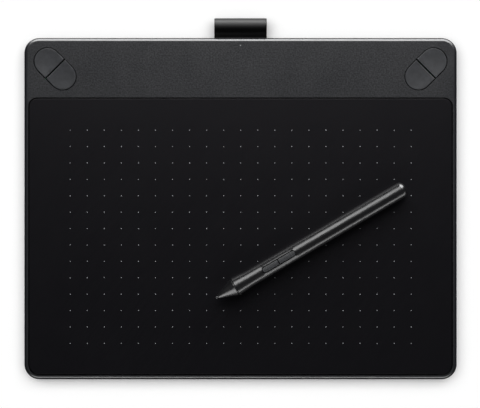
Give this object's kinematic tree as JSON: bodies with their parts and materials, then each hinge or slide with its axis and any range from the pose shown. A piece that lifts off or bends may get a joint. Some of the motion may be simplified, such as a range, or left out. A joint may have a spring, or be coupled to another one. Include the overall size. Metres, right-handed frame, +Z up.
{
  "type": "graphics tablet",
  "caption": "Flat pen tablet with framed drawing surface, round-ended express keys, back pen loop, underside compartment and cordless two-switch pen.",
  "frame": {"origin": "on the desk under the feet, at the middle of the whole outline with its pen loop", "axes": "+X to the right and +Y away from the user, +Z up out of the drawing surface"},
  "size_m": [0.275, 0.2298, 0.0222],
  "materials": {
    "case_plastic": "fine moulded texture",
    "base_plastic": "moulded spark texture",
    "sheet_plastic": "matte film with printed dots",
    "key_plastic": "satin",
    "control_plastic": "satin",
    "loop_fabric": "coated woven band",
    "foot_rubber": "matte",
    "circuit_board": "solder mask",
    "chip_resin": "moulded resin",
    "flex_film": "polyimide film",
    "clear_film": "clear film",
    "adhesive": "tacky film",
    "steel": "zinc plated",
    "shield_steel": "rolled sheet",
    "contact_metal": "gold flashed",
    "light_lens": "translucent",
    "pen_plastic": "satin metallic paint",
    "pen_dark": "matte",
    "nib_plastic": "satin",
    "ferrite": "sintered",
    "copper": "enamelled wire"
  },
  "bodies": {
    "tablet": {"battery_contacts": "contact_metal", "board_screws": "steel", "bottom_cover": "base_plastic", "case_screws": "steel", "compartment_tub": "base_plastic", "control_board": "circuit_board", "control_chips": "chip_resin", "drawing_surface": "sheet_plastic", "key_switches": "chip_resin", "loop_retainer": "control_plastic", "module_connector": "chip_resin", "nib_remover": "steel", "pen_loop": "loop_fabric", "power_switch": "chip_resin", "rubber_feet": "foot_rubber", "sensor_board": "circuit_board", "sensor_ribbon": "flex_film", "sensor_support": "base_plastic", "shield_plate": "shield_steel", "spare_nibs": "nib_plastic", "status_led": "light_lens", "status_light_guide": "light_lens", "surface_adhesive": "adhesive", "top_cover": "case_plastic", "touch_film": "clear_film", "touch_ribbon": "flex_film", "touch_switch": "chip_resin", "usb_shell": "steel", "usb_tongue": "chip_resin"},
    "touch_slider": {"touch_knob": "control_plastic"},
    "power_button": {"power_button": "control_plastic"},
    "compartment_door": {"compartment_cover": "base_plastic"},
    "pen_nib": {"pen_nib": "nib_plastic"},
    "pen_lower_switch": {"pen_switch_lower": "key_plastic"},
    "pen_upper_switch": {"pen_switch_upper": "key_plastic"},
    "left_upper_key": {"left_upper_key": "key_plastic", "left_upper_key_switch_button": "control_plastic"},
    "left_lower_key": {"left_lower_key": "key_plastic", "left_lower_key_switch_button": "control_plastic"},
    "right_upper_key": {"right_upper_key": "key_plastic", "right_upper_key_switch_button": "control_plastic"},
    "right_lower_key": {"right_lower_key": "key_plastic", "right_lower_key_switch_button": "control_plastic"},
    "pen": {"pen_barrel": "pen_plastic", "pen_board": "circuit_board", "pen_chassis": "pen_dark", "pen_coil": "copper", "pen_collar": "pen_dark", "pen_ferrite": "ferrite", "pen_nose_cone": "pen_dark", "pen_pressure_sensor": "chip_resin", "pen_switch_domes": "steel", "pen_tail_cap": "pen_plastic"}
  },
  "joints": [
    {"name": "left_upper_key_press", "type": "slide", "parent": "tablet", "child": "left_upper_key", "axis": [0, 0, -1], "range_m": [0, 0.0005], "stiffness_N_per_m": 600},
    {"name": "left_lower_key_press", "type": "slide", "parent": "tablet", "child": "left_lower_key", "axis": [0, 0, -1], "range_m": [0, 0.0005], "stiffness_N_per_m": 600},
    {"name": "right_upper_key_press", "type": "slide", "parent": "tablet", "child": "right_upper_key", "axis": [0, 0, -1], "range_m": [0, 0.0005], "stiffness_N_per_m": 600},
    {"name": "right_lower_key_press", "type": "slide", "parent": "tablet", "child": "right_lower_key", "axis": [0, 0, -1], "range_m": [0, 0.0005], "stiffness_N_per_m": 600},
    {"name": "touch_slide", "type": "slide", "parent": "tablet", "child": "touch_slider", "axis": [1, 0, 0], "range_m": [0, 0.0024]},
    {"name": "power_press", "type": "slide", "parent": "tablet", "child": "power_button", "axis": [1, 0, 0], "range_m": [0, 0.0004], "stiffness_N_per_m": 400},
    {"name": "compartment_hinge", "type": "hinge", "parent": "tablet", "child": "compartment_door", "pos_m": [0, 0.0553, 0.0008], "axis": [-1, 0, 0], "range_deg": [0, 70]},
    {"name": "pen_lift", "type": "slide", "parent": "tablet", "child": "pen", "axis": [0, 0, 1], "range_m": [0, 0.06]},
    {"name": "nib_press", "type": "slide", "parent": "pen", "child": "pen_nib", "axis": [0.8643, 0.503, -0.0053], "range_m": [0, 0.0003], "stiffness_N_per_m": 600},
    {"name": "pen_lower_switch_press", "type": "slide", "parent": "pen", "child": "pen_lower_switch", "axis": [-0.0046, -0.0027, -1], "range_m": [0, 0.0003], "stiffness_N_per_m": 400},
    {"name": "pen_upper_switch_press", "type": "slide", "parent": "pen", "child": "pen_upper_switch", "axis": [-0.0046, -0.0027, -1], "range_m": [0, 0.0003], "stiffness_N_per_m": 400}
  ]
}
